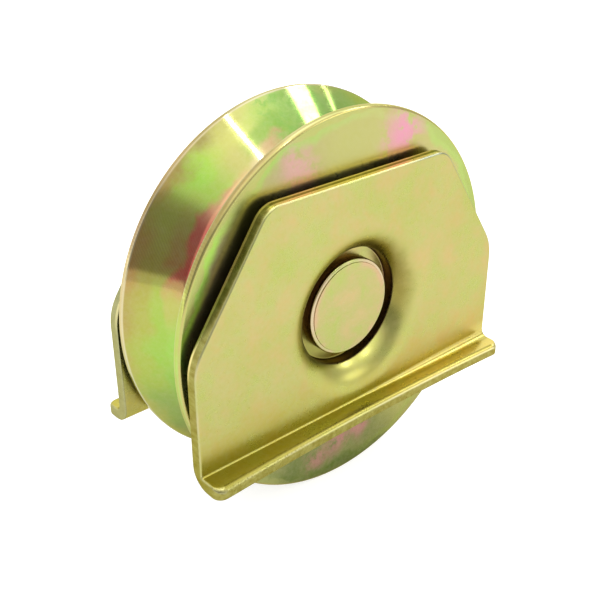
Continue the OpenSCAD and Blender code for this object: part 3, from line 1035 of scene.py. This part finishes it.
def dish_colour(s, x, z, reach, radius, mid, colour):
    """Painted shade in the gap round the pin's head, on the dish's upper right and low on
    the recess floor.
    """
    # Painted shade in the gap round the pin's head.
    to_wall = s.math("ABSOLUTE", s.math("SUBTRACT", radius, RECESS_R))
    in_gap = s.times(s.remap(to_wall, 0.35, 0.2),
                     s.remap(reach, OUTER_D - 4.2, OUTER_D - 4.7))
    colour = s.mix(s.times(in_gap, 0.9), colour, SHADE_AND_TOOL_MARK_BROWN)
    on_dish = s.times(s.remap(reach, OUTER_D - 4.6, OUTER_D - 4.2),
                      s.remap(radius, RECESS_R - 0.2, RECESS_R))
    fresh = s.times(on_dish, s.eased(radius, 23.0, 19.0, 0.0, 0.5))
    colour = s.mix(fresh, colour, zinc(208, 208, 116))
    # Painted shade: a darker patch on the dish's upper right, beside the recess.
    heading = s.math("MULTIPLY_ADD", x, 0.82, s.times(z, 0.57))
    heading = s.math("DIVIDE", heading, s.math("MAXIMUM", radius, 1.0))
    wavy_radius = s.math("MULTIPLY_ADD", s.math("SUBTRACT", mid, 0.5), 4.0, radius)
    dish_shade = s.times(s.eased(heading, 0.15, 0.8),
                    s.eased(wavy_radius, 21.0, 16.0), on_dish)
    colour = s.mix(s.times(dish_shade, 0.75), colour, zinc(146, 126, 50))
    # Painted shade on the lower part of the recess floor.
    on_floor = s.times(s.remap(reach, FLOOR_D + 0.8, FLOOR_D + 0.4),
                       s.eased(z, 2.0, -6.0))
    return s.mix(s.times(on_floor, 0.6), colour, zinc(150, 150, 56))


def zinc_sheet():
    s = Shader("zinc_bracket")
    p = s.coords_mm()
    x, y, z = s.split(p)
    reach = s.math("ABSOLUTE", y)
    radius = s.vector("LENGTH", s.join(x, 0.0, z))
    mid = s.noise(s.shifted(p, 0.0, 9.0, 40.0), 0.16, 3, 0.6, 0.2)
    fine = s.noise(p, 0.8, 3, 0.6)
    scar = s.noise(s.vector("MULTIPLY", p, (1.0, 0.35, 1.0)), 0.8, 4, 0.6)
    sheared = s.attribute("sheared")
    colour = plate_colour(s, p, x, z, reach, mid, fine)
    colour = edge_colour(s, p, x, y, z, reach, mid, scar, sheared, colour)
    colour = dish_colour(s, x, z, reach, radius, mid, colour)
    blur = s.math("ADD", s.times(mid, 0.5), s.times(fine, 0.5))
    height = s.math("ADD", s.times(fine, 0.5), s.times(s.noise(p, 0.25, 2), 1.5))
    height = s.math("ADD", height, s.times(scar, sheared, 5.0))
    return s.metal(colour, s.remap(blur, 0.3, 0.7, 0.24, 0.36),
                   s.bump(height, COAT_RELIEF, 0.5), GRAZING)


def zinc_pin():
    s = Shader("zinc_pin")
    p = s.coords_mm()
    x, _, z = s.split(p)
    radius = s.vector("LENGTH", s.join(x, 0.0, z))
    cloud = s.noise(s.shifted(p, 2.0, 0.0, 8.0), 0.14, 3, 0.6, 0.3)
    fine = s.noise(p, 1.1, 5, 0.7)
    colour = s.ramp(cloud, [
        (0.32, zinc(202, 210, 116)), (0.5, zinc(213, 204, 130)),
        (0.68, zinc(226, 202, 138))], smooth=False)
    border = s.times(s.eased(radius, HEAD_R - 2.6, HEAD_R - 1.4),
                     s.remap(cloud, 0.42, 0.58))
    colour = s.mix(s.times(border, 0.55), colour, zinc(240, 188, 158))
    colour = s.mix(s.remap(fine, 0.35, 0.7, 0.0, 0.15), colour, PALE)
    # Painted highlight: a pale ring at the edge of the head's raised face.
    head_edge_highlight = s.times(s.remap(radius, HEAD_R - BOSS_INSET, HEAD_R - BOSS_INSET + 0.2),
                      s.remap(cloud, 0.35, 0.65, 0.1, 0.45))
    colour = s.mix(head_edge_highlight, colour, PALE)
    # Painted shade on the sides of the head and the formed end, down in the recesses.
    head_side = s.remap(radius, HEAD_R - 0.06, HEAD_R - 0.01)
    colour = s.mix(s.times(head_side, 0.9), colour, SHADE_AND_TOOL_MARK_BROWN)
    return s.metal(colour, s.remap(fine, 0.3, 0.7, 0.18, 0.28),
                   s.bump(fine, 0.000008, 0.4), GRAZING)


def steel(name, colour, dark, roughness, scale):
    s = Shader(name)
    p = s.coords_mm()
    cloud = s.noise(p, scale, 3, 0.55, 0.3)
    grain = s.noise(p, scale * 9, 4, 0.65)
    tint = s.mix(s.remap(cloud, 0.35, 0.7), dark, colour)
    tint = s.mix(s.remap(grain, 0.4, 0.7, 0.0, 0.15), tint, dark)
    return s.metal(tint, s.remap(grain, 0.3, 0.7, roughness * 0.8, roughness * 1.3),
                   s.bump(grain, 0.000006, 0.4))


def dress(obj, material):
    obj.data.materials.clear()
    obj.data.materials.append(material)


# ---------------- scene

FLOOR_R = 1.6           # metres, like the two below
FLOOR_SHIFT = (0.45, 0.5)
LIGHT_FAR = 1.1
FLOOR_GLOW = 0.74       # even light that fills the shadow under the object
WORLD = 1.46            # brightness of the open dome


def build_floor():
    """Round pale floor, larger behind the object than in front of it."""
    rings, segments = 24, 96
    verts, faces = [(0, 0, 0)], []
    for i in range(1, rings + 1):
        r = FLOOR_R * (i / rings) ** 1.5
        for k in range(segments):
            a = 2 * math.pi * k / segments
            verts.append((r * math.cos(a), r * math.sin(a), 0))
    faces += [(0, 1 + k, 1 + (k + 1) % segments) for k in range(segments)]
    for i in range(rings - 1):
        for k in range(segments):
            m = (k + 1) % segments
            a, b = 1 + i * segments, 1 + (i + 1) * segments
            faces.append((a + k, b + k, b + m, a + m))
    mesh = bpy.data.meshes.new("studio_floor")
    mesh.from_pydata(verts, [], faces)
    obj = bpy.data.objects.new("studio_floor", mesh)
    obj.location = (*FLOOR_SHIFT, -WHEEL_R * MM)
    bpy.context.scene.collection.objects.link(obj)
    s = Shader("pale_floor")
    tone = s.noise(s.coords_mm(), 0.01, 2)
    s.put(s.bsdf.inputs["Base Color"],
          s.ramp(tone, [(0.3, (0.44, 0.44, 0.44)), (0.7, (0.46, 0.46, 0.46))]))
    s.bsdf.inputs["Roughness"].default_value = 0.9
    s.bsdf.inputs["Emission Color"].default_value = (1, 1, 1, 1)
    s.bsdf.inputs["Emission Strength"].default_value = FLOOR_GLOW
    obj.data.materials.append(s.material)


def direction(azimuth, elevation):
    """Unit vector towards a light. Azimuth 0 is -Y and 90 is +X."""
    a, e = math.radians(azimuth), math.radians(elevation)
    return Vector((math.sin(a) * math.cos(e), -math.cos(a) * math.cos(e), math.sin(e)))


def place(obj, azimuth, elevation, distance, roll_deg):
    """Adds a light or camera on that side of the origin, looking at it."""
    away = direction(azimuth, elevation)
    obj.location = away * distance
    obj.rotation_mode = "QUATERNION"
    roll = Matrix.Rotation(math.radians(roll_deg), 3, "Z").to_quaternion()
    obj.rotation_quaternion = away.to_track_quat("Z", "Y") @ roll
    bpy.context.scene.collection.objects.link(obj)


def add_light(name, azimuth, elevation, width, height, radiance, roll_deg=0):
    """Rectangular softbox aimed at the origin; radiance as seen by a mirror."""
    data = bpy.data.lights.new(name, "AREA")
    data.shape = "RECTANGLE"
    data.size, data.size_y = width, height
    data.energy = radiance * math.pi * width * height
    place(bpy.data.objects.new(name, data), azimuth, elevation, LIGHT_FAR, roll_deg)


def build_world():
    world = bpy.data.worlds.new("studio")
    bpy.context.scene.world = world
    world.use_nodes = True
    s = Nodes(world.node_tree)
    coord = s.new("TexCoord").outputs["Generated"]
    _, y, z = s.split(coord)

    def lobe(azimuth, elevation, inner_deg, outer_deg):
        """1 inside a cone of directions, falling to 0 at its outer angle."""
        facing = s.vector("DOT_PRODUCT", coord, tuple(direction(azimuth, elevation)))
        return s.eased(facing, math.cos(math.radians(outer_deg)),
                       math.cos(math.radians(inner_deg)))

    def scaled(level, mask, share):
        """The level times the share where the mask is 1."""
        return s.times(level, s.remap(mask, 0.0, 1.0, 1.0, share))

    # open dome, brighter overhead and behind on the right
    level = s.eased(z, 0.64, 0.95, 0.95, 1.6)
    level = scaled(level, lobe(140, 30, 20, 60), 1.3)
    # dim band along the horizon in front
    in_front = s.eased(y, 0.35, -0.35)
    band = s.eased(z, 0.64, 0.46)
    level = scaled(level, s.times(in_front, band), 0.6)
    # bright window low on the front right
    level = scaled(level, lobe(40, 19, 6, 14), 4.2)
    # dark room on the front left
    low = s.eased(z, 0.66, 0.56)
    level = scaled(level, s.times(lobe(-42, 10, 22, 45), low), 0.62)
    # haze that softens the line where the floor ends
    level = s.math("ADD", level, s.eased(z, 0.045, 0.0, 0.0, 0.45))
    level = s.mix(s.new("LightPath").outputs["Is Camera Ray"],
                  s.join(level, level, level), (1.0, 1.0, 1.0))
    background = s.new("Background", Color=level, Strength=WORLD)
    s.new("OutputWorld", Surface=background.outputs[0])


def build_camera():
    """Camera fitted to the object's outlines in the photograph."""
    data = bpy.data.cameras.new("camera")
    data.lens = 56.2
    data.sensor_width = 36.0
    data.shift_x = -0.0227
    data.shift_y = -0.0203
    data.clip_start, data.clip_end = 0.01, 20
    obj = bpy.data.objects.new("camera", data)
    place(obj, -41.6, 27.49, 0.2407, 0.25)
    bpy.context.scene.camera = obj


wheel = build_wheel()
pin = build_pin()
bracket_front = build_bracket("bracket_front_sheet", -1, "bracket_front")
bracket_rear = build_bracket("bracket_rear_sheet", 1, "bracket_rear")

dress(wheel, zinc_wheel())
sheet = zinc_sheet()
dress(bracket_front, sheet)
dress(bracket_rear, sheet)
dress(pin, zinc_pin())

ring_steel = steel("ring_steel", (0.62, 0.63, 0.64), (0.48, 0.49, 0.50), 0.22, 0.4)
ball_steel = steel("ball_steel", (0.78, 0.79, 0.80), (0.66, 0.67, 0.68), 0.08, 0.6)
cage_steel = steel("cage_steel", (0.52, 0.53, 0.54), (0.38, 0.39, 0.40), 0.36, 0.5)
shield_steel = steel("shield_steel", (0.60, 0.61, 0.62), (0.46, 0.47, 0.48), 0.32, 0.3)
clip_steel = steel("clip_steel", (0.13, 0.13, 0.14), (0.06, 0.06, 0.065), 0.42, 0.5)
CARRIED = {
    "bearing_inner_ring": ring_steel, "bearing_outer_ring": ring_steel,
    "cage_front": cage_steel, "cage_rear": cage_steel, "cage_rivets": cage_steel,
    "shield_front": shield_steel, "shield_rear": shield_steel,
    "retaining_ring": clip_steel}
for number in range(1, 9):
    CARRIED[f"ball_{number}"] = ball_steel
for node_name, material in CARRIED.items():
    dress(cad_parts[node_name], material)

build_floor()
build_world()
add_light("strip_left", 12, 59, 0.027, 0.30, 28.0)
add_light("strip_right", 70, 43.5, 0.19, 0.24, 10.0, -52)
add_light("strip_far_right", 83, 31.5, 0.018, 0.20, 12.0, -50)
build_camera()
bpy.context.scene.view_settings.view_transform = "Standard"
